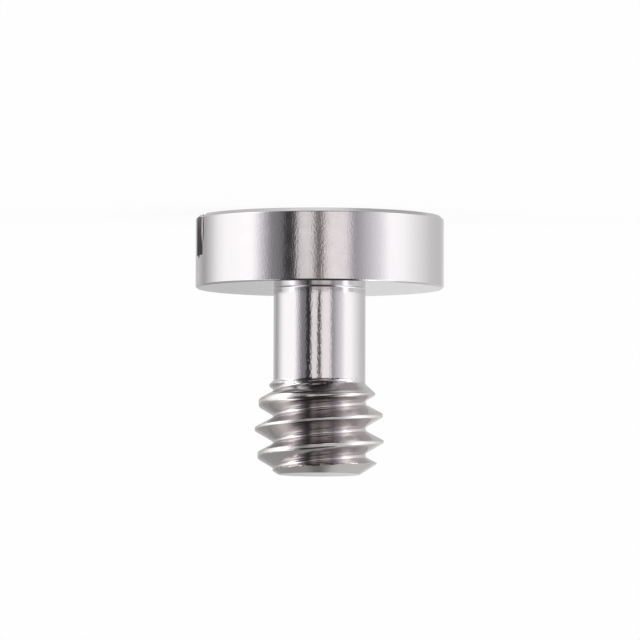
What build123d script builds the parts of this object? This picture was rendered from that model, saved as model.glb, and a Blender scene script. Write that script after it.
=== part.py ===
from build123d import *
from math import cos, radians, tan
import os

# Captive panel screw, 1/4-20 UNC, turned in one piece from stainless steel bar.
#
# A flat round head with a driver slot, a plain waist and a short right-hand thread. The waist is
# thinner than the thread's root, so a tapped panel that the thread has passed through stays on it.
#
# Millimetres. The origin lies on the axis in the bearing face under the head. +Z runs along the
# waist and the thread to the tip, and the head is below the origin.

# ---- head ----
head_diameter = 12.0
head_height = 3.5
head_chamfer = 0.18  # 45 degrees, round the slotted face
rim_break = 0.08  # 45 degrees, round the bearing face
bearing_fillet = 0.06  # where the waist meets the bearing face

# ---- driver slot ----
slot_width = 1.1
slot_depth = 2.0
slot_edge_break = 0.12  # 45 degrees, along both lips, and not down the rim
slot_angle = -14.5  # degrees from +X, about +Z

# ---- waist ----
waist_diameter = 4.45
waist_length = 4.57  # bearing face to the start of the thread

# ---- thread ----
length_under_head = 9.0  # bearing face to the tip
thread_diameter = 6.2  # over the crests, inside the 1/4 inch class 2A limits
threads_per_inch = 20
thread_angle = 60.0
groove_start_angle = 55.0  # degrees from +X, where the groove begins beside the waist

# ---- both ends of the thread ----
start_cone_angle = 45.0  # from the axis
start_radius = 2.6  # rounds the corner between the start cone and the crests
tip_diameter = 3.9
tip_cone_angle = 55.0  # from the axis
tip_radius = 1.3  # rounds the corner between the tip cone and the crests

# ---- worked out from the sizes above ----
head_r = head_diameter / 2
waist_r = waist_diameter / 2
thread_r = thread_diameter / 2
tip_r = tip_diameter / 2
start_cone_height = (thread_r - waist_r) / tan(radians(start_cone_angle))
tip_cone_height = (thread_r - tip_r) / tan(radians(tip_cone_angle))
start_corner = (thread_r, waist_length + start_cone_height)
tip_corner = (thread_r, length_under_head - tip_cone_height)

# ---- the thread's section, in parts of its sharp triangle's height ----
pitch = 25.4 / threads_per_inch
flank_slope = tan(radians(thread_angle / 2))
sharp_height = pitch / 2 / flank_slope
crest_cut = sharp_height / 12  # missing from the sharp corner at each crest
root_cut = sharp_height / 6  # left uncut at the bottom of each groove, as on a unified thread
groove_r = thread_r + crest_cut - sharp_height + root_cut
run_out = 0.6 * pitch  # how far the groove's middle starts and ends beyond the thread


def corner_at(sketch, point):
    """The sketch's corner that lies at a point."""
    return sketch.vertices().sort_by_distance(point)[0]


def within_cone(radius, cone_height, cone_angle):
    """A rounding radius for a cone's outer corner, limited so that some of the cone stays straight."""
    straight_share = 0.1
    cone_length = cone_height / cos(radians(cone_angle))
    return min(radius, (1 - straight_share) * cone_length / tan(radians(cone_angle / 2)))


def turned_blank():
    """The screw as it is before threading and slotting: one outline, turned about the axis."""
    start_rounding = within_cone(start_radius, start_cone_height, start_cone_angle)
    tip_rounding = within_cone(tip_radius, tip_cone_height, tip_cone_angle)
    waist_foot = (waist_r, 0)
    outline = [
        (0, -head_height),
        (head_r - head_chamfer, -head_height),
        (head_r, -head_height + head_chamfer),
        (head_r, -rim_break),
        (head_r - rim_break, 0),
        waist_foot,
        (waist_r, waist_length),
        start_corner,
        tip_corner,
        (tip_r, length_under_head),
        (0, length_under_head),
    ]
    with BuildPart() as blank:
        with BuildSketch(Plane.XZ) as half_section:
            with BuildLine():
                Polyline(*outline, close=True)
            make_face()
            fillet(corner_at(half_section, waist_foot), bearing_fillet)
            fillet(corner_at(half_section, start_corner), start_rounding)
            fillet(corner_at(half_section, tip_corner), tip_rounding)
        revolve(axis=Axis.Z)
    return blank.part


def thread_groove():
    """What the threading tool takes away: a V with a flat root, wound right-handed up the axis.

    It begins in the air beside the waist and leaves past the tip, so that the thread rises out of
    the start cone and fades on the tip cone.
    """
    begin = waist_length - run_out
    outer_r = thread_r + crest_cut / 2  # clear of the crests, short of the next turn's groove
    root_half = root_cut * flank_slope
    outer_half = root_half + (outer_r - groove_r) * flank_slope
    with BuildPart() as groove:
        with BuildLine():
            Helix(
                pitch=pitch,
                height=length_under_head + run_out - begin,
                radius=groove_r,
                center=(0, 0, begin),
            )
        with BuildSketch(Plane.XZ):
            with BuildLine():
                Polyline(
                    (groove_r, begin - root_half),
                    (groove_r, begin + root_half),
                    (outer_r, begin + outer_half),
                    (outer_r, begin - outer_half),
                    close=True,
                )
            make_face()
        sweep(is_frenet=True)
    return groove.part.rotate(Axis.Z, groove_start_angle)


def threaded(blank):
    """The blank with its thread. The thread is cut on a plain bar as thick as the crests, the bar is
    turned down to the blank's outline, and it takes the place of the blank's upper end.
    """
    middle_of_waist = Plane.XY.offset(waist_length / 2)
    stem = split(blank, bisect_by=middle_of_waist, keep=Keep.BOTTOM)
    upper_end = split(blank, bisect_by=middle_of_waist, keep=Keep.TOP)
    bar_length = length_under_head - waist_length / 2 + 2 * run_out
    on_its_end = (Align.CENTER, Align.CENTER, Align.MIN)
    bar = middle_of_waist * Cylinder(thread_r, bar_length, align=on_its_end)
    return stem + ((bar - thread_groove()) & upper_end)


def is_slot_wall(face):
    """Whether a face is one of the slot's two upright walls."""
    across_slot = Vector(0, 1, 0).rotate(Axis.Z, slot_angle)
    return face.geom_type == GeomType.PLANE and abs(face.normal_at().dot(across_slot)) > 0.999


def slotted(blank):
    """The blank with a straight slot milled across its head, and the slot's lips broken."""
    slot = Box(2 * head_r, slot_width, slot_depth, align=(Align.CENTER, Align.CENTER, Align.MIN))
    cut = blank - Pos(0, 0, -head_height) * Rot(0, 0, slot_angle) * slot
    walls = [face for face in cut.faces() if is_slot_wall(face)]
    lips = [wall.edges().sort_by(Axis.Z)[0] for wall in walls]
    return chamfer(lips, slot_edge_break)


def captive_screw():
    """The finished screw, one solid."""
    return slotted(threaded(turned_blank())).solid()


os.makedirs("parts", exist_ok=True)
export_step(captive_screw(), "parts/screw.step")
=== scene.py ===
from math import acos, atan2, cos, pi, radians, sin, sqrt, tan

import bpy
from mathutils import Euler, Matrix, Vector, noise


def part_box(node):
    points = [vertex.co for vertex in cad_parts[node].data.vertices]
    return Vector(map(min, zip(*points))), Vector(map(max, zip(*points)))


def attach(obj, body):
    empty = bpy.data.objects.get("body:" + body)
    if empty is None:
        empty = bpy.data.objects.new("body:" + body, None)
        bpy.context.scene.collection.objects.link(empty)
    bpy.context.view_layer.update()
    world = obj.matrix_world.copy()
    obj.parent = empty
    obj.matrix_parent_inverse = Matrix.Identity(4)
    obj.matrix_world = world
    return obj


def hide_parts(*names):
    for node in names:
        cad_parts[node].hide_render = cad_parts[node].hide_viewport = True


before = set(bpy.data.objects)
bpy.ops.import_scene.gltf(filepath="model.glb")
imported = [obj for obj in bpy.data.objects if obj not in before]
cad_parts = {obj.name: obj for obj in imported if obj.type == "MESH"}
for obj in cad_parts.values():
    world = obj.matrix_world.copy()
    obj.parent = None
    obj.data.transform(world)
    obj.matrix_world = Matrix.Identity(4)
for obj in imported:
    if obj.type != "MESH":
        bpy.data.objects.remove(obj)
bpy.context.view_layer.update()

# A captive panel screw, turned in one piece from stainless steel bar: a flat slotted head, a plain
# waist and a short 1/4-20 UNC thread. It stands on its head, with the thread upwards.
# Metres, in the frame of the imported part: the axis is Z and the bearing face lies at z = 0.

MM = 0.001

# ---- sizes of the turned body ----
HEAD_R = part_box("screw")[1].x
HEAD_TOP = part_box("screw")[0].z
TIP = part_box("screw")[1].z
HEAD_CHAMFER = 0.18 * MM
RIM_BREAK = 0.08 * MM
BEARING_FILLET = 0.06 * MM
EDGE_ROUND = 0.03 * MM  # what tumbling leaves on every turned corner
EDGE_HOLD = 0.02 * MM  # a loop this far past each round keeps the walls beside it straight
WAIST_R = 2.225 * MM

# ---- sizes of the thread ----
PITCH = 1.27 * MM
CREST_R = 3.12 * MM
SHARP_CREST_R = 3.235 * MM  # where the flanks would meet
TIP_FLANK = radians(59.7)  # slope of the flanks that face the tip, from along the axis
HEAD_FLANK = radians(62.2)  # and of those that face the head, which the die left steeper
CREST_EDGE_ROUND = 0.05 * MM
ROOT_ROUND = 0.145 * MM  # rounds the root right across
CREST_WEAR = 0.004 * MM  # how uneven tumbling left the crests
WEAR_GRAIN = 0.1 * MM
WEAR_DEPTH = 0.08 * MM  # how far down from the crest it reaches
FULL_CREST = 6.805 * MM  # height of the best formed crest, where it crosses the +X side
LEAN = 0.04 * MM  # how much lower the thread lies on the -X side than its pitch alone would put it
FORMED_TURN = 0.37  # turns before the best crest at which the thread is at its full depth
START_LACK = 0.3 * MM  # what the crest lacks for each turn before that
WORN_TURN = 0.5  # turns past the best crest at which it begins to be lower again
TIP_LACK = 0.28 * MM  # what the crest lacks for each turn past that
START_HEIGHT = 4.63 * MM
START_CONE = radians(48.5)
START_SOFTNESS = 0.14 * MM  # how gently the cone passes into the first crest
START_DRAG = 0.165 * MM  # how far the first ridge was dragged towards the head, on the +X side
START_DRAG_TURN = radians(10)  # how far past +X, towards -Y, the drag is greatest
CHATTER = 0.03 * MM  # how ragged that made it
CHATTER_GRAIN = 0.09 * MM
CHATTER_RISE = 0.05 * MM  # past the foot of the cone it is this far before it is at its full
CHATTER_REACH = 0.28 * MM
FADE_SOFTNESS = 0.02 * MM  # how softly a shallow crest is cut off, and more as it gets shallower
TIP_R = 1.98 * MM
TIP_CONE = radians(57)
BURNISH = 0.06 * MM  # how softly a crest meets the cone of the tip
CREST_BAND = 0.05 * MM  # how far from the middle of a crest it is torn and pale
COIL_FOOT = 0.15 * MM  # how far below the dragged ridge the thread's own mesh begins
COIL_TURNS = 6  # more than the thread has: what lies past either end is drawn in flat
TURNS_BEFORE_FULL = 3  # how many turns before the best crest the coil begins

# ---- sizes of the driver slot ----
SLOT_WIDTH = 1.1 * MM
SLOT_DEPTH = 2.0 * MM
LIP_BREAK = 0.12 * MM
SLOT_ANGLE = radians(-14.5)
CUTTER_OVERSHOOT = 1.0 * MM  # how far the cutter stands out past the face of the head

# ---- the nick where the slot leaves the rim ----
# For each mark: its bearing, distance from the axis and height, and its size outwards, round the
# rim and upwards.
BURR = (radians(-18.6), 5.93 * MM, -2.74 * MM, (0.16 * MM, 0.28 * MM, 1.45 * MM))
TEAR = (radians(-20.6), 5.98 * MM, -2.72 * MM, (0.9 * MM, 0.13 * MM, 1.25 * MM))
CHIP = (radians(-13.8), 5.96 * MM, -1.46 * MM, (0.4 * MM, 0.3 * MM, 0.22 * MM))
SCRAPE = (radians(-12.2), 6.0 * MM, -0.85 * MM, (0.06 * MM, 0.1 * MM, 0.95 * MM))

# ---- how finely it is drawn ----
STEPS = 256  # round a full turn
ARC_STEPS = 5
FLANK_STEPS = 12
SAME_POINT = 1e-4 * MM  # points of one piece that are closer than this are merged
SAME_SEAM = 1e-3 * MM  # and points where two pieces meet
SLIVER = 1e-5 * MM
SMOOTH_UP_TO = radians(32)  # an edge that turns further than this stays sharp


# ---------------------------------------------------------------- tools of the modelling
def select_only(piece):
    bpy.ops.object.select_all(action="DESELECT")
    piece.select_set(True)
    bpy.context.view_layer.objects.active = piece


def traced(name, points):
    """A line of edges through points, each (distance from the axis, height), in the XZ plane."""
    bpy.ops.object.select_all(action="DESELECT")
    bpy.ops.mesh.primitive_plane_add(size=MM)
    line = bpy.context.object
    line.name = name
    bpy.ops.object.mode_set(mode="EDIT")
    bpy.ops.mesh.merge(type="CENTER")
    here = Vector((0, 0, 0))
    first = True
    for radius, height in points:
        step = Vector((radius, 0, height)) - here
        here += step
        if first:
            bpy.ops.transform.translate(value=step)
        else:
            bpy.ops.mesh.extrude_vertices_move(TRANSFORM_OT_translate={"value": step})
        first = False
    bpy.ops.object.mode_set(mode="OBJECT")
    return line


def arc(centre, radius, start, end):
    """Points (distance from the axis, height) on an arc, its angles measured from straight outwards."""
    angles = [start + (end - start) * i / ARC_STEPS for i in range(ARC_STEPS + 1)]
    return [(centre[0] + radius * cos(a), centre[1] + radius * sin(a)) for a in angles]


def rounded(points, radius):
    """An open outline with a small round at every inner corner, held by a point on either side."""
    most = 0.45  # of the shorter wall beside a corner that its round may take
    made = [points[0]]
    for before, corner, after in zip(points, points[1:], points[2:]):
        a, b, c = Vector(before), Vector(corner), Vector(after)
        inward, outward = (a - b).normalized(), (c - b).normalized()
        half = acos(max(-1, min(1, inward.dot(outward)))) / 2
        room = most * min((a - b).length, (c - b).length) - EDGE_HOLD
        back = min(radius / tan(half), room)
        made.append(tuple(b + inward * (back + EDGE_HOLD)))
        for i in range(ARC_STEPS + 1):
            t = i / ARC_STEPS
            made.append(tuple(b + inward * back * (1 - t) ** 2 + outward * back * t ** 2))
        made.append(tuple(b + outward * (back + EDGE_HOLD)))
    made.append(points[-1])
    return made


def spun(line):
    """The line turned right round the axis."""
    select_only(line)
    bpy.ops.object.mode_set(mode="EDIT")
    bpy.ops.mesh.select_all(action="SELECT")
    bpy.ops.mesh.spin(steps=STEPS, angle=2 * pi, center=(0, 0, 0), axis=(0, 0, 1))
    bpy.ops.mesh.select_all(action="SELECT")
    bpy.ops.mesh.remove_doubles(threshold=SAME_POINT)
    bpy.ops.object.mode_set(mode="OBJECT")
    return line


def apply_modifier(piece, kind, **settings):
    select_only(piece)
    modifier = piece.modifiers.new(kind.title(), kind)
    for key, value in settings.items():
        setattr(modifier, key, value)
    bpy.ops.object.modifier_apply(modifier=modifier.name)


# ---------------------------------------------------------------- the screw
def stem():
    """Head and waist, up to where the thread's own mesh begins."""
    fillet_centre = (WAIST_R + BEARING_FILLET, BEARING_FILLET)
    outline = rounded(
        [
            (0, HEAD_TOP),
            (HEAD_R - HEAD_CHAMFER, HEAD_TOP),
            (HEAD_R, HEAD_TOP + HEAD_CHAMFER),
            (HEAD_R, -RIM_BREAK),
            (HEAD_R - RIM_BREAK, 0),
            (WAIST_R + BEARING_FILLET + EDGE_HOLD, 0),
        ],
        EDGE_ROUND,
    )
    foot = arc(fillet_centre, BEARING_FILLET, -pi / 2, -pi)
    waist = [(WAIST_R, BEARING_FILLET + EDGE_HOLD), (WAIST_R, coil_bottom())]
    return spun(traced("screw_stem", outline + foot + waist))


def coil_bottom():
    """Height on the waist at which the thread's own mesh begins."""
    return START_HEIGHT - START_DRAG - COIL_FOOT


def tip_face():
    """The flat end of the thread, held flat by a loop close to its edge."""
    return spun(traced("screw_tip", [(TIP_R, TIP), (TIP_R - EDGE_HOLD, TIP), (0, TIP)]))


def thread_section():
    """One pitch of the thread's outline, from crest to crest, as (distance from the axis, height)."""
    lack = SHARP_CREST_R - CREST_R
    edge_r = CREST_R - CREST_EDGE_ROUND
    tip_edge = lack / tan(TIP_FLANK) - CREST_EDGE_ROUND * tan(TIP_FLANK / 2)
    head_edge = PITCH - lack / tan(HEAD_FLANK) + CREST_EDGE_ROUND * tan(HEAD_FLANK / 2)
    crest = [(CREST_R, 0)] + arc((edge_r, tip_edge), CREST_EDGE_ROUND, 0, TIP_FLANK)
    next_crest = arc((edge_r, head_edge), CREST_EDGE_ROUND, -HEAD_FLANK, 0) + [(CREST_R, PITCH)]
    lift = ROOT_ROUND / cos(TIP_FLANK)
    root_z = PITCH * tan(HEAD_FLANK) + lift - ROOT_ROUND / cos(HEAD_FLANK)
    root_z /= tan(TIP_FLANK) + tan(HEAD_FLANK)
    centre = (SHARP_CREST_R - root_z * tan(TIP_FLANK) + lift, root_z)
    root = arc(centre, ROOT_ROUND, TIP_FLANK - pi, -pi)
    root += arc(centre, ROOT_ROUND, -pi, -pi - HEAD_FLANK)[1:]
    return crest + between(crest[-1], root[0]) + root + between(root[-1], next_crest[0]) + next_crest


def between(start, end):
    """Points along a straight flank, without its ends."""
    first, last = Vector(start), Vector(end)
    return [tuple(first.lerp(last, i / FLANK_STEPS)) for i in range(1, FLANK_STEPS)]


def crest_shortfall(crest_height):
    """What a crest lacks to its full radius: the thread starts shallow, and is low at the tip."""
    turns = (crest_height - FULL_CREST) / PITCH
    at_start = START_LACK * max(-turns - FORMED_TURN, 0)
    at_tip = TIP_LACK * max(turns - WORN_TURN, 0)
    return at_start + at_tip


def lean(x, y):
    """How much lower the thread lies at a bearing than its pitch alone would put it."""
    return LEAN * (1 - cos(atan2(y, x))) / 2


def nearest_crest(x, y, height):
    """Height of the crest that lies nearest, straight above or below a point."""
    turn = atan2(y, x) / (2 * pi) - lean(x, y) / PITCH
    return FULL_CREST + PITCH * (turn + round((height - FULL_CREST) / PITCH - turn))


def start_radius(x, y, height):
    """Radius of the turned cone on which the thread starts, with its dragged and ragged first ridge."""
    facing = max(cos(atan2(y, x) + START_DRAG_TURN), 0) ** 2
    past = height - START_HEIGHT + START_DRAG * facing
    if past < 0:
        return WAIST_R
    ragged = noise.noise(Vector((x, y, height)) / CHATTER_GRAIN) * min(past / CHATTER_RISE, 1)
    chatter = CHATTER * facing * ragged * max(1 - past / CHATTER_REACH, 0)
    return WAIST_R + past * tan(START_CONE) + chatter


def softer(a, b, softness):
    """The smaller of two radii, with a gentle passage where they are nearly equal."""
    near = max(softness - abs(a - b), 0) / softness
    return min(a, b) - near * near * softness / 4


def thread_coil():
    """The thread as one wound strip, drawn in to the turned cones at both ends."""
    coil = traced("screw_thread", thread_section())
    apply_modifier(coil, "SCREW", axis="Z", screw_offset=PITCH, iterations=COIL_TURNS, steps=STEPS,
                   render_steps=STEPS, use_merge_vertices=False)
    for vertex in coil.data.vertices:
        place_on_screw(vertex, coil_bottom(), TIP)
    bpy.ops.object.mode_set(mode="EDIT")
    bpy.ops.mesh.select_all(action="SELECT")
    bpy.ops.mesh.remove_doubles(threshold=SAME_POINT)
    bpy.ops.mesh.dissolve_degenerate(threshold=SLIVER)
    bpy.ops.object.mode_set(mode="OBJECT")
    return coil


def place_on_screw(vertex, low, high):
    """Moves a point of the wound strip to its height, and in to whichever surface is nearer."""
    x, y, z = vertex.co
    cut = sqrt(x * x + y * y)
    first_crest = FULL_CREST - TURNS_BEFORE_FULL * PITCH
    height = min(max(z + first_crest - lean(x, y), low), high)
    shortfall = crest_shortfall(nearest_crest(x, y, height))
    start = start_radius(x * WAIST_R / cut, y * WAIST_R / cut, height)
    blank = softer(start, CREST_R - shortfall, START_SOFTNESS)
    tip_cone = TIP_R + (TIP - height) * tan(TIP_CONE)
    radius = cut
    if shortfall > 0:
        radius = softer(radius, blank, FADE_SOFTNESS + shortfall / 2)
    radius = softer(radius, tip_cone, BURNISH)
    if radius > CREST_R - shortfall - WEAR_DEPTH:
        radius += CREST_WEAR * noise.noise(Vector((x, y, height)) / WEAR_GRAIN)
    if height < START_HEIGHT - START_DRAG:
        radius = WAIST_R
    if height == high:
        radius = TIP_R
    vertex.co = (x * radius / cut, y * radius / cut, height)


def slot_cutter():
    """The milling cutter's path across the head, flared where it breaks the lips."""
    half = SLOT_WIDTH / 2
    reach = 1.5 * HEAD_R  # past the rim at both ends
    floor_level, lip_level = HEAD_TOP + SLOT_DEPTH, HEAD_TOP + LIP_BREAK
    side = rounded(
        [
            (half, floor_level),
            (half, lip_level),
            (half + LIP_BREAK, HEAD_TOP),
            (half + LIP_BREAK + CUTTER_OVERSHOOT, HEAD_TOP - CUTTER_OVERSHOOT),
        ],
        EDGE_ROUND,
    )
    outline = side + [(-across, height) for across, height in reversed(side)]
    cutter = traced("slot_cutter", outline)
    bpy.ops.object.mode_set(mode="EDIT")
    bpy.ops.mesh.select_all(action="SELECT")
    bpy.ops.mesh.edge_face_add()
    bpy.ops.transform.translate(value=(0, -reach, 0))
    bpy.ops.mesh.extrude_region_move(TRANSFORM_OT_translate={"value": (0, 2 * reach, 0)})
    bpy.ops.mesh.select_all(action="SELECT")
    bpy.ops.mesh.normals_make_consistent(inside=False)
    bpy.ops.object.mode_set(mode="OBJECT")
    cutter.rotation_euler = (0, 0, SLOT_ANGLE + pi / 2)
    bpy.ops.object.transform_apply(location=True, rotation=True, scale=True)
    return cutter


def combined(body, tool, operation):
    """Takes a tool's shape away from the body, or adds it."""
    apply_modifier(body, "BOOLEAN", operation=operation, solver="EXACT", object=tool)
    bpy.data.objects.remove(tool)


def pebble(azimuth, distance, height, size):
    """A small rounded lump at the rim: its size is outwards, round the rim and upwards."""
    bpy.ops.object.select_all(action="DESELECT")
    place = (distance * cos(azimuth), distance * sin(azimuth), height)
    bpy.ops.mesh.primitive_uv_sphere_add(segments=24, ring_count=16, radius=0.5, location=place,
                                         rotation=(0, 0, azimuth), scale=size)
    lump = bpy.context.object
    bpy.ops.object.transform_apply(location=True, rotation=True, scale=True)
    return lump


def nick_slot_end(body):
    """A curled lip with a tear behind it, a chip and a scrape, where the slot leaves the +X side."""
    combined(body, pebble(*BURR), "UNION")
    for mark in (TEAR, CHIP, SCRAPE):
        combined(body, pebble(*mark), "DIFFERENCE")


def screw():
    """The whole screw as one closed mesh."""
    body, tip, coil = stem(), tip_face(), thread_coil()
    bpy.ops.object.select_all(action="DESELECT")
    for piece in (body, tip, coil):
        piece.select_set(True)
    bpy.context.view_layer.objects.active = body
    bpy.ops.object.join()
    body.name = "turned_screw"
    body.data.name = "turned_screw"
    bpy.ops.object.mode_set(mode="EDIT")
    bpy.ops.mesh.select_all(action="SELECT")
    bpy.ops.mesh.remove_doubles(threshold=SAME_SEAM)
    bpy.ops.mesh.normals_make_consistent(inside=False)
    bpy.ops.object.mode_set(mode="OBJECT")
    combined(body, slot_cutter(), "DIFFERENCE")
    nick_slot_end(body)
    bpy.ops.object.shade_smooth_by_angle(angle=SMOOTH_UP_TO)
    return body


# ---------------------------------------------------------------- materials
def linear(hex_code):
    """An sRGB hex colour as linear red, green, blue and alpha."""
    parts = [int(hex_code[i:i + 2], 16) / 255 for i in (0, 2, 4)]
    return [p / 12.92 if p <= 0.04045 else ((p + 0.055) / 1.055) ** 2.4 for p in parts] + [1.0]


def add(tree, kind, settings=None, inputs=None, links=None):
    """A node with its settings, its constant inputs, and links into its inputs."""
    node = tree.nodes.new(kind)
    for key, value in (settings or {}).items():
        setattr(node, key, value)
    for key, value in (inputs or {}).items():
        node.inputs[key].default_value = value
    for key, source in (links or {}).items():
        tree.links.new(source, node.inputs[key])
    return node


# What the nodes are most often set to, and the sockets of a node that mixes colours.
SMOOTH = {"interpolation_type": "SMOOTHSTEP"}
TIMES = {"operation": "MULTIPLY"}
PLUS = {"operation": "ADD"}
SIZE_OF = {"operation": "ABSOLUTE"}
COLOURS = {"data_type": "RGBA"}
SHARE, COLOUR_A, COLOUR_B, MIXED = 0, 6, 7, 2

# Where one finish of the steel gives way to the next.
SHANK_FROM, SHANK_FULL = 0.05 * MM, 0.25 * MM  # heights: the bearing face's, then the waist's
THREAD_FROM, THREAD_FULL = 4.50 * MM, 4.60 * MM  # heights: the waist's, then the thread's
CREST_FROM, CREST_FULL = 2.5 * MM, 2.7 * MM  # distances from the axis, to keep it off the tip face
SLOT_FROM, SLOT_FULL = 0.02 * MM, 0.01 * MM  # how deep in the steel of the slot's walls and floor

# How coarse the marks on the steel are.
TUMBLED_PATCH = 0.5 * MM  # over which the finish varies
FROST_GRAIN = 0.08 * MM  # what tumbling leaves
TURNING_MARK = 0.13 * MM  # drawn coarser than the real feed, about 0.05 mm, which wouldn't show
TEAR_GRAIN = 0.02 * MM  # what the die tore in the thread
RELIEF_DEPTH = 0.005 * MM


def turned_stainless():
    """Austenitic stainless bar, turned and then tumbled.

    It is near neutral and bright. Tumbling leaves a frosty grain on the head, the waist is smoother,
    and the thread is duller, with its crests torn and paler. The milled slot is rough and dark.
    """
    material = bpy.data.materials.new("turned_stainless_steel")
    material.use_nodes = True
    tree = material.node_tree
    shader = tree.nodes["Principled BSDF"]
    shader.inputs["Metallic"].default_value = 1.0
    regions = regions_of_the_screw(tree)
    tree.links.new(steel_colour(tree, regions), shader.inputs["Base Color"])
    tree.links.new(steel_roughness(tree, regions), shader.inputs["Roughness"])
    tree.links.new(steel_relief(tree, regions), shader.inputs["Normal"])
    return material


def regions_of_the_screw(tree):
    """How much each spot of the steel belongs to the shank, the thread, its crests and the slot."""
    place = add(tree, "ShaderNodeTexCoord").outputs["Object"]
    parts = add(tree, "ShaderNodeSeparateXYZ", links={"Vector": place})
    height = parts.outputs["Z"]
    flat = add(tree, "ShaderNodeCombineXYZ", links={"X": parts.outputs["X"], "Y": parts.outputs["Y"]})
    radius = add(tree, "ShaderNodeVectorMath", {"operation": "LENGTH"},
                 links={0: flat.outputs[0]}).outputs["Value"]
    thread = add(tree, "ShaderNodeMapRange", SMOOTH,
                 {"From Min": THREAD_FROM, "From Max": THREAD_FULL}, {"Value": height})
    shank = add(tree, "ShaderNodeMapRange", SMOOTH,
                {"From Min": SHANK_FROM, "From Max": SHANK_FULL}, {"Value": height})
    return {
        "place": place,
        "height": height,
        "radius": radius,
        "thread": thread.outputs["Result"],
        "shank": shank.outputs["Result"],
        "crest": crest_region(tree, parts, radius, thread.outputs["Result"]),
        "slot": slot_region(tree, place, height),
    }


def crest_region(tree, parts, radius, thread):
    """1 along the middle of the thread's crests, and 0 elsewhere."""
    bearing = add(tree, "ShaderNodeMath", {"operation": "ARCTAN2"}, None,
                  {0: parts.outputs["Y"], 1: parts.outputs["X"]})
    wound = add(tree, "ShaderNodeMath", {"operation": "MULTIPLY_ADD"},
                {1: -PITCH / (2 * pi), 2: -FULL_CREST}, {0: bearing.outputs[0]})
    off_crest = add(tree, "ShaderNodeMath", PLUS, None, {0: parts.outputs["Z"], 1: wound.outputs[0]})
    nearest = add(tree, "ShaderNodeMath", {"operation": "WRAP"}, {1: PITCH / 2, 2: -PITCH / 2},
                  {0: off_crest.outputs[0]})
    distance = add(tree, "ShaderNodeMath", SIZE_OF, None, {0: nearest.outputs[0]})
    near = add(tree, "ShaderNodeMapRange", SMOOTH,
               {"From Min": 1.4 * CREST_BAND, "From Max": 0.9 * CREST_BAND},
               {"Value": distance.outputs[0]})
    outer = add(tree, "ShaderNodeMapRange", SMOOTH,
                {"From Min": CREST_FROM, "From Max": CREST_FULL}, {"Value": radius})
    along = add(tree, "ShaderNodeMath", TIMES, None, {0: near.outputs["Result"], 1: thread})
    return add(tree, "ShaderNodeMath", TIMES, None,
               {0: along.outputs[0], 1: outer.outputs["Result"]}).outputs[0]


def slot_region(tree, place, height):
    """1 on the walls and floor of the driver slot, and 0 elsewhere."""
    turned = add(tree, "ShaderNodeMapping", None, {"Rotation": (0, 0, -SLOT_ANGLE)}, {"Vector": place})
    parts = add(tree, "ShaderNodeSeparateXYZ", links={"Vector": turned.outputs[0]})
    off_middle = add(tree, "ShaderNodeMath", SIZE_OF, None, {0: parts.outputs["Y"]})
    within = add(tree, "ShaderNodeMapRange", None,
                 {"From Min": SLOT_WIDTH / 2 + SLOT_FROM, "From Max": SLOT_WIDTH / 2 + SLOT_FULL},
                 {"Value": off_middle.outputs[0]})
    floor_level = HEAD_TOP + SLOT_DEPTH
    above = add(tree, "ShaderNodeMapRange", None,
                {"From Min": floor_level + SLOT_FROM, "From Max": floor_level + SLOT_FULL},
                {"Value": height})
    return add(tree, "ShaderNodeMath", TIMES, None,
               {0: within.outputs["Result"], 1: above.outputs["Result"]}).outputs[0]


def steel_colour(tree, regions):
    """Bright steel, darker in the thread and the slot, and palest along the crests."""
    thread = add(tree, "ShaderNodeMix", COLOURS,
                 {COLOUR_A: linear("cdcacc"), COLOUR_B: linear("c5c0c0")}, {SHARE: regions["thread"]})
    crest = add(tree, "ShaderNodeMix", COLOURS, {COLOUR_B: linear("dedada")},
                {SHARE: regions["crest"], COLOUR_A: thread.outputs[MIXED]})
    slot = add(tree, "ShaderNodeMix", COLOURS, {COLOUR_B: linear("bcb8b8")},
               {SHARE: regions["slot"], COLOUR_A: crest.outputs[MIXED]})
    return slot.outputs[MIXED]


def steel_roughness(tree, regions):
    """The waist is smoothest. The thread is duller, its torn crests more so, and the slot most."""
    finish = add(tree, "ShaderNodeMapRange", None, {"To Min": 0.14, "To Max": 0.085},
                 {"Value": regions["shank"]})
    cut = add(tree, "ShaderNodeMapRange", None, {"To Min": 0.0, "To Max": 0.06},
              {"Value": regions["thread"]})
    milled = add(tree, "ShaderNodeMapRange", None, {"To Min": 0.0, "To Max": 0.35},
                 {"Value": regions["slot"]})
    tumbled = add(tree, "ShaderNodeTexNoise", None, {"Scale": 1 / TUMBLED_PATCH, "Detail": 3.0},
                  {"Vector": regions["place"]})
    uneven = add(tree, "ShaderNodeMapRange", None,
                 {"From Min": 0.3, "From Max": 0.7, "To Min": -0.02, "To Max": 0.02},
                 {"Value": tumbled.outputs["Fac"]})
    rough = finish.outputs["Result"]
    worn = add(tree, "ShaderNodeMapRange", None, {"To Min": 0.0, "To Max": 0.2},
               {"Value": regions["crest"]})
    for more in (cut, milled, worn, uneven):
        rough = add(tree, "ShaderNodeMath", PLUS, None, {0: rough, 1: more.outputs["Result"]}).outputs[0]
    return rough


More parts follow.
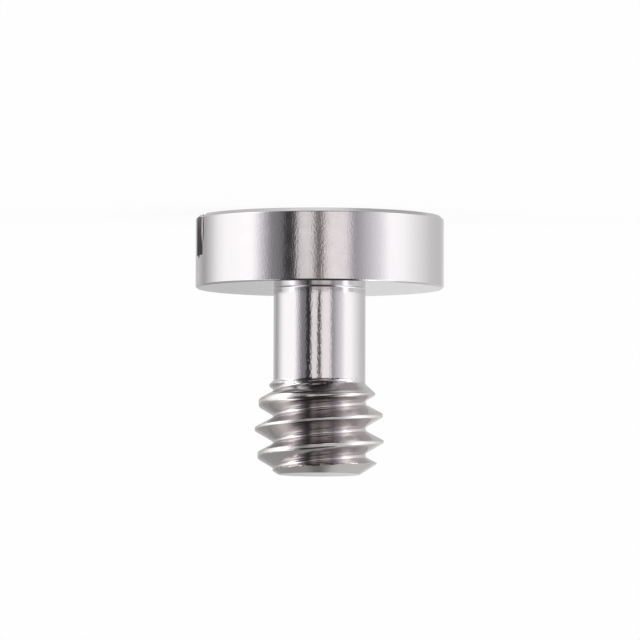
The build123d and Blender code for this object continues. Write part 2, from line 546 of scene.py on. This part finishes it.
def steel_relief(tree, regions):
    """The grain that tumbling leaves, the fine rings of the turning tool, and the thread's tears."""
    rings = add(tree, "ShaderNodeCombineXYZ", None, None,
                {"X": regions["radius"], "Y": regions["height"]})
    turning = add(tree, "ShaderNodeTexNoise", None, {"Scale": 1 / TURNING_MARK, "Detail": 1.0},
                  {"Vector": rings.outputs[0]})
    drawn_out = add(tree, "ShaderNodeMapping", None, {"Scale": (1, 1, 0.5)},
                    {"Vector": regions["place"]})
    frost = add(tree, "ShaderNodeTexNoise", None, {"Scale": 1 / FROST_GRAIN, "Detail": 1.5},
                {"Vector": drawn_out.outputs[0]})
    strong = add(tree, "ShaderNodeMapRange", None, {"To Min": 0.6, "To Max": 0.8},
                 {"Value": regions["shank"]})
    calm = add(tree, "ShaderNodeMapRange", None, {"To Min": 1.0, "To Max": 0.35},
               {"Value": regions["thread"]})
    amount = add(tree, "ShaderNodeMath", TIMES, None,
                 {0: strong.outputs["Result"], 1: calm.outputs["Result"]})
    grain = add(tree, "ShaderNodeMath", TIMES, None,
                {0: frost.outputs["Fac"], 1: amount.outputs[0]})
    marks = add(tree, "ShaderNodeMath", TIMES, {1: 0.1}, {0: turning.outputs["Fac"]})
    torn = add(tree, "ShaderNodeTexNoise", None, {"Scale": 1 / TEAR_GRAIN, "Detail": 0.0},
               {"Vector": regions["place"]})
    tearing = add(tree, "ShaderNodeMath", TIMES, {1: 0.25}, {0: regions["thread"]})
    tears = add(tree, "ShaderNodeMath", TIMES, None, {0: torn.outputs["Fac"], 1: tearing.outputs[0]})
    turned = add(tree, "ShaderNodeMath", PLUS, None, {0: grain.outputs[0], 1: marks.outputs[0]})
    relief = add(tree, "ShaderNodeMath", PLUS, None, {0: turned.outputs[0], 1: tears.outputs[0]})
    bump = add(tree, "ShaderNodeBump", None, {"Strength": 1.0, "Distance": RELIEF_DEPTH},
               {"Height": relief.outputs[0]})
    return bump.outputs[0]


# ---------------------------------------------------------------- studio
CAMERA_DISTANCE = 500 * MM
CAMERA_RISE = radians(3.65)
CAMERA_TILT = radians(0.16)
AIM = (-0.022 * MM, 0, 1.52 * MM)
FRAME_WIDTH = 30.94 * MM  # what the picture spans at the screw
# What stands round the screw, by its bearing from the camera in degrees, positive towards +X:
# how bright it is there. Between two bearings the brightness changes evenly.
# This ring is what the upright walls of the head and the waist reflect.
LEVEL_RING = [
    (-180, 0.85),
    (-150, 0.72),
    (-127, 0.85),
    (-104, 1.2),
    (-84, 1.55),
    (-68, 1.52),
    (-58, 1.12),
    (-45, 0.78),
    (-32, 0.44),
    (-29, 0.85),
    (-24, 1.25),
    (-10, 1.27),
    (-4, 0.95),
    (-2, 0.12),
    (2.5, 0.12),
    (6, 0.95),
    (9, 1.15),
    (19, 1.1),
    (23, 0.05),
    (32, 0.05),
    (35, 0.26),
    (46, 0.34),
    (58, 1.05),
    (64, 1.55),
    (98, 1.58),
    (110, 1.35),
    (122, 0.9),
    (136, 0.5),
    (150, 0.7),
]
# This one is a little above the horizon.
ABOVE_RING = [
    (-180, 0.83),
    (-150, 0.8),
    (-100, 1.1),
    (-84, 0.9),
    (-76, 1.4),
    (-70, 3.0),
    (-65, 2.2),
    (-60, 1.2),
    (-53, 0.7),
    (-45, 0.8),
    (-32, 0.45),
    (-29, 0.7),
    (-24, 0.95),
    (-10, 1.0),
    (-6, 0.85),
    (-2, 0.6),
    (2.5, 0.6),
    (7, 0.75),
    (19, 0.7),
    (23, 0.05),
    (32, 0.05),
    (35, 0.2),
    (46, 0.3),
    (58, 0.9),
    (66, 1.7),
    (74, 2.4),
    (84, 1.7),
    (104, 1.2),
    (114, 0.6),
    (180, 0.61),
]
# Well above the horizon the softboxes go on, with black cloth between them.
HIGH_RING = [
    (-180, 0.45),
    (-153, 0.83),
    (-125, 0.7),
    (-114, 1.2),
    (-104, 2.3),
    (-85, 2.5),
    (-75, 2.0),
    (-65, 1.0),
    (-55, 0.4),
    (-44, 0.1),
    (-30, 0.03),
    (46, 0.03),
    (55, 0.3),
    (60, 0.6),
    (69, 2.0),
    (76, 3.2),
    (82, 2.4),
    (90, 1.0),
    (100, 0.6),
    (153, 0.45),
    (180, 0.45),
]
# A little below it they are brightest, and the front is dark.
LOW_RING = [
    (-180, 0.6),
    (-110, 1.1),
    (-95, 1.3),
    (-78, 2.9),
    (-60, 2.0),
    (-53, 1.5),
    (-45, 0.85),
    (-37, 0.4),
    (-22, 0.3),
    (-14, 0.12),
    (30, 0.1),
    (37, 0.2),
    (42, 0.35),
    (46, 0.65),
    (52, 1.3),
    (56, 2.4),
    (62, 3.5),
    (74, 3.4),
    (84, 2.4),
    (104, 1.8),
    (118, 1.0),
    (180, 0.6),
]
# Far below it there is the dark front of the table, and its pale sides.
DEEP_RING = [
    (-180, 0.6),
    (-95, 0.65),
    (-67, 0.55),
    (-58, 0.4),
    (-48, 0.18),
    (-38, 0.03),
    (76, 0.03),
    (84, 0.9),
    (92, 1.3),
    (120, 0.9),
    (180, 0.6),
]
# Overhead there is black cloth.
ZENITH = [
    (-180, 0.08),
    (-80, 0.05),
    (80, 0.05),
    (180, 0.08),
]
# Straight below, the table is dark in front and pale behind.
NADIR = [
    (-180, 1.2),
    (-90, 1.0),
    (-60, 0.05),
    (60, 0.05),
    (90, 1.0),
    (180, 1.2),
]
BRIGHTEST = 4.5  # the level that full white in a ring stands for
WHITE = (1.0, 1.0, 1.0)
WARM = (1.04, 0.99, 0.985)  # the room behind the camera
COOL = (0.995, 0.98, 1.025)  # beside it
WARM_WITHIN, COOL_WITHIN = 26, 60  # degrees to either side of the camera
SEEN_WHITE = 0.88  # share of the table's look that is plain white, and the rest keeps the shadow
TABLE_GLOW = 1.04
TABLE_WIDTH = 6  # metres


def studio_world():
    """The studio round the screw. What the camera sees of it directly is white."""
    world = bpy.data.worlds.new("studio")
    world.use_nodes = True
    tree = world.node_tree
    tree.nodes.clear()
    way = add(tree, "ShaderNodeTexCoord")
    parts = add(tree, "ShaderNodeSeparateXYZ", links={"Vector": way.outputs["Generated"]})
    backwards = add(tree, "ShaderNodeMath", TIMES, {1: -1.0}, {0: parts.outputs["Y"]})
    bearing = add(tree, "ShaderNodeMath", {"operation": "ARCTAN2"}, None,
                  {0: parts.outputs["X"], 1: backwards.outputs[0]})
    place = add(tree, "ShaderNodeMapRange", None, {"From Min": -pi, "From Max": pi},
                {"Value": bearing.outputs[0]})
    # Each ring, and the rise between which it takes over from those before it.
    layers = [
        (ABOVE_RING, -0.025, 0.015),
        (HIGH_RING, 0.27, 0.36),
        (LOW_RING, -0.11, -0.17),
        (DEEP_RING, -0.45, -0.6),
        (ZENITH, 0.91, 0.95),
        (NADIR, -0.94, -0.985),
    ]
    light = ring_of_light(tree, LEVEL_RING, place.outputs["Result"])
    for levels, start, end in layers:
        ring = ring_of_light(tree, levels, place.outputs["Result"])
        taken = add(tree, "ShaderNodeMapRange", SMOOTH, {"From Min": start, "From Max": end},
                    {"Value": parts.outputs["Z"]})
        light = add(tree, "ShaderNodeMix", COLOURS, None,
                    {SHARE: taken.outputs["Result"], COLOUR_A: light, COLOUR_B: ring}).outputs[MIXED]
    round_about = add(tree, "ShaderNodeBackground", None, {"Strength": BRIGHTEST}, {"Color": light})
    white = add(tree, "ShaderNodeBackground", None, {"Color": (1, 1, 1, 1), "Strength": 1.0})
    path = add(tree, "ShaderNodeLightPath")
    seen = add(tree, "ShaderNodeMixShader", None, None,
               {0: path.outputs["Is Camera Ray"], 1: round_about.outputs[0], 2: white.outputs[0]})
    add(tree, "ShaderNodeOutputWorld", None, None, {"Surface": seen.outputs[0]})
    bpy.context.scene.world = world


def ring_of_light(tree, levels, place):
    """The light at each place round the screw, every level as a share of the brightest."""
    ring = add(tree, "ShaderNodeValToRGB", links={"Fac": place})
    stops = ring.color_ramp.elements
    stops.remove(stops[1])
    for i, (bearing, level) in enumerate(levels):
        position = (bearing + 180) / 360
        stop = stops[0] if i == 0 else stops.new(position)
        stop.position = position
        tint = WARM if abs(bearing) < WARM_WITHIN else COOL if abs(bearing) < COOL_WITHIN else WHITE
        stop.color = [level * share / BRIGHTEST for share in tint] + [1]
    return ring.outputs["Color"]


def table_white():
    """Matt white laminate. Most of what the camera sees of it is plain white, under a soft shadow."""
    material = bpy.data.materials.new("matt_white_laminate")
    material.use_nodes = True
    tree = material.node_tree
    shader = tree.nodes["Principled BSDF"]
    shader.inputs["Base Color"].default_value = linear("f8f8f8")
    shader.inputs["Roughness"].default_value = 0.8
    white = add(tree, "ShaderNodeEmission", None, {"Color": (1, 1, 1, 1), "Strength": TABLE_GLOW})
    path = add(tree, "ShaderNodeLightPath")
    share = add(tree, "ShaderNodeMath", TIMES, {1: SEEN_WHITE}, {0: path.outputs["Is Camera Ray"]})
    both = add(tree, "ShaderNodeMixShader", None, None,
               {0: share.outputs[0], 1: shader.outputs[0], 2: white.outputs[0]})
    tree.links.new(both.outputs[0], tree.nodes["Material Output"].inputs["Surface"])
    return material


def floor():
    """A white table under the head. The steel reflects the studio round it, and not the table."""
    bpy.ops.object.select_all(action="DESELECT")
    bpy.ops.mesh.primitive_plane_add(size=TABLE_WIDTH, location=(0, 0, HEAD_TOP))
    plane = bpy.context.object
    plane.name = "floor"
    plane.data.materials.append(table_white())
    plane.visible_glossy = False


def camera():
    """Looks from a little above the head's level, turned over so that the head is uppermost."""
    data = bpy.data.cameras.new("camera")
    data.sensor_width = 36
    data.lens = data.sensor_width * CAMERA_DISTANCE / FRAME_WIDTH
    data.clip_start, data.clip_end = 0.01, 20
    view = bpy.data.objects.new("camera", data)
    bpy.context.scene.collection.objects.link(view)
    aim = Vector(AIM)
    view.location = aim + CAMERA_DISTANCE * Vector((0, -cos(CAMERA_RISE), sin(CAMERA_RISE)))
    view.rotation_mode = "QUATERNION"
    upright = (aim - view.location).to_track_quat("-Z", "Y")
    view.rotation_quaternion = upright @ Euler((0, 0, pi + CAMERA_TILT)).to_quaternion()
    bpy.context.scene.camera = view


camera()
body = screw()
body.data.materials.append(turned_stainless())
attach(body, "root")
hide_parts("screw")
studio_world()
floor()
bpy.context.scene.view_settings.view_transform = "Standard"
